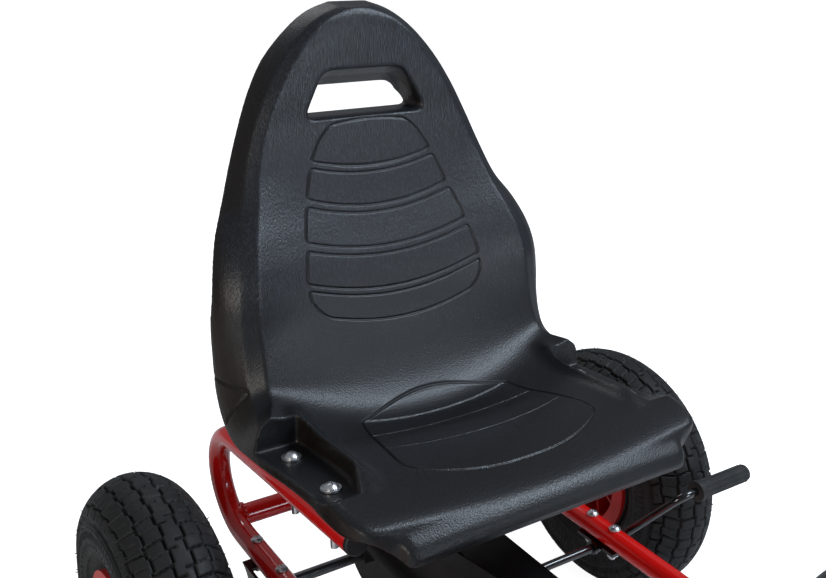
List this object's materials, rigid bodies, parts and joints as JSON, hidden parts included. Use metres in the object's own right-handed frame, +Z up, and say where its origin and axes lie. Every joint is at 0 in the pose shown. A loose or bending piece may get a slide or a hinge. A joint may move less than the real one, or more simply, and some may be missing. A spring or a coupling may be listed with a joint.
{
  "type": "pedal go-kart",
  "caption": "Child's pedal go-kart: red bent-tube rear frame, black box beam, moulded high-back seat, chain drive, raked steering wheel, hand brake and pneumatic wheels.",
  "frame": {"origin": "on the ground, midway between the front and rear axles, on the centre plane", "axes": "+Z up, -Y forward (the way the driver faces), +X the driver's left"},
  "size_m": [0.585, 0.96, 0.614],
  "materials": {
    "red_paint": "gloss",
    "black_paint": "gloss",
    "red_plastic": "satin",
    "seat_plastic": "pebbled matt",
    "black_plastic": "satin",
    "white_nylon": "satin",
    "tread_rubber": "matt",
    "soft_rubber": "matt",
    "zinc_steel": "bright zinc",
    "dark_steel": "oiled",
    "brake_lining": "matt"
  },
  "bodies": {
    "chassis": {"side_frame": "red_paint", "main_beam": "black_paint", "rail_plugs": "black_plastic", "axle_bracket_left": "black_paint", "axle_bracket_right": "black_paint", "frame_bolts": "zinc_steel", "frame_nuts": "zinc_steel", "axle_bushes": "white_nylon", "chain_case_outer": "black_plastic", "chain_case_inner": "black_plastic", "panel_screws": "zinc_steel", "seat": "seat_plastic", "seat_bolts": "zinc_steel", "seat_washers": "zinc_steel", "seat_inserts": "zinc_steel", "steering_bushes": "white_nylon", "crank_bushes": "white_nylon", "front_shield": "black_plastic", "brake_bracket": "black_paint", "beam_bolts": "zinc_steel", "kingpins": "zinc_steel", "lock_nuts": "zinc_steel", "drive_chain": "dark_steel"},
    "drive_axle": {"rear_axle": "dark_steel", "rear_sprocket": "dark_steel", "brake_drum": "dark_steel", "axle_pins": "zinc_steel", "rear_axle_nuts": "zinc_steel", "tyre_rear_right": "tread_rubber", "tube_rear_right": "soft_rubber", "rim_rear_right": "red_plastic"},
    "free_wheel": {"tyre_rear_left": "tread_rubber", "tube_rear_left": "soft_rubber", "rim_rear_left": "red_plastic", "bearings_rear_left": "zinc_steel"},
    "crank": {"pedal_crank": "zinc_steel", "crank_sprocket": "dark_steel", "pedal_caps": "zinc_steel"},
    "left_pedal": {"pedal_left": "black_plastic"},
    "right_pedal": {"pedal_right": "black_plastic"},
    "steering": {"steering_column": "zinc_steel", "steering_wheel": "black_plastic", "steering_cap": "black_plastic"},
    "left_tie_rod": {"tie_rod_left": "zinc_steel"},
    "right_tie_rod": {"tie_rod_right": "zinc_steel"},
    "left_knuckle": {"knuckle_left": "black_paint", "wheel_nut_left": "zinc_steel"},
    "right_knuckle": {"knuckle_right": "black_paint", "wheel_nut_right": "zinc_steel"},
    "left_front_wheel": {"tyre_front_left": "tread_rubber", "tube_front_left": "soft_rubber", "rim_front_left": "red_plastic", "bearings_front_left": "zinc_steel"},
    "right_front_wheel": {"tyre_front_right": "tread_rubber", "tube_front_right": "soft_rubber", "rim_front_right": "red_plastic", "bearings_front_right": "zinc_steel"},
    "brake": {"brake_lever": "black_paint", "brake_grip": "soft_rubber", "brake_shoe": "brake_lining"}
  },
  "joints": [
    {"name": "axle_spin", "type": "hinge", "parent": "chassis", "child": "drive_axle", "pos_m": [0, 0.35, 0.13], "axis": [1, 0, 0], "continuous": true},
    {"name": "free_wheel_spin", "type": "hinge", "parent": "drive_axle", "child": "free_wheel", "pos_m": [0.25, 0.35, 0.13], "axis": [1, 0, 0], "continuous": true},
    {"name": "crank_spin", "type": "hinge", "parent": "chassis", "child": "crank", "pos_m": [0, -0.20416, 0.2], "axis": [1, 0, 0], "continuous": true},
    {"name": "pedal_left_spin", "type": "hinge", "parent": "crank", "child": "left_pedal", "pos_m": [0.1, -0.28404, 0.17093], "axis": [1, 0, 0], "continuous": true},
    {"name": "pedal_right_spin", "type": "hinge", "parent": "crank", "child": "right_pedal", "pos_m": [-0.1, -0.12429, 0.22907], "axis": [1, 0, 0], "continuous": true},
    {"name": "steering_turn", "type": "hinge", "parent": "chassis", "child": "steering", "pos_m": [0, -0.18, 0.42], "axis": [0, 0.5299, 0.848], "range_deg": [-28, 28]},
    {"name": "tie_rod_left_turn", "type": "hinge", "parent": "steering", "child": "left_tie_rod", "pos_m": [0, -0.34179, 0.23279], "axis": [0, 0.5299, 0.848], "range_deg": [-28, 28]},
    {"name": "tie_rod_right_turn", "type": "hinge", "parent": "steering", "child": "right_tie_rod", "pos_m": [0, -0.35075, 0.21846], "axis": [0, 0.5299, 0.848], "range_deg": [-28, 28]},
    {"name": "knuckle_left_turn", "type": "hinge", "parent": "chassis", "child": "left_knuckle", "pos_m": [0.186, -0.35, 0.13], "axis": [0, 0, 1], "range_deg": [-28, 28]},
    {"name": "knuckle_right_turn", "type": "hinge", "parent": "chassis", "child": "right_knuckle", "pos_m": [-0.186, -0.35, 0.13], "axis": [0, 0, 1], "range_deg": [-28, 28]},
    {"name": "front_wheel_left_spin", "type": "hinge", "parent": "left_knuckle", "child": "left_front_wheel", "pos_m": [0.25, -0.35, 0.13], "axis": [1, 0, 0], "continuous": true},
    {"name": "front_wheel_right_spin", "type": "hinge", "parent": "right_knuckle", "child": "right_front_wheel", "pos_m": [-0.25, -0.35, 0.13], "axis": [1, 0, 0], "continuous": true},
    {"name": "brake_turn", "type": "hinge", "parent": "chassis", "child": "brake", "pos_m": [0, 0.247, 0.13], "axis": [1, 0, 0], "range_deg": [0, 10]}
  ],
  "couplings": [
    {"joint": "crank_spin", "follows": "axle_spin", "ratio": 0.66667},
    {"joint": "tie_rod_left_turn", "follows": "steering_turn", "ratio": -1},
    {"joint": "tie_rod_right_turn", "follows": "steering_turn", "ratio": -1},
    {"joint": "knuckle_left_turn", "follows": "steering_turn", "ratio": 1},
    {"joint": "knuckle_right_turn", "follows": "steering_turn", "ratio": 1}
  ]
}
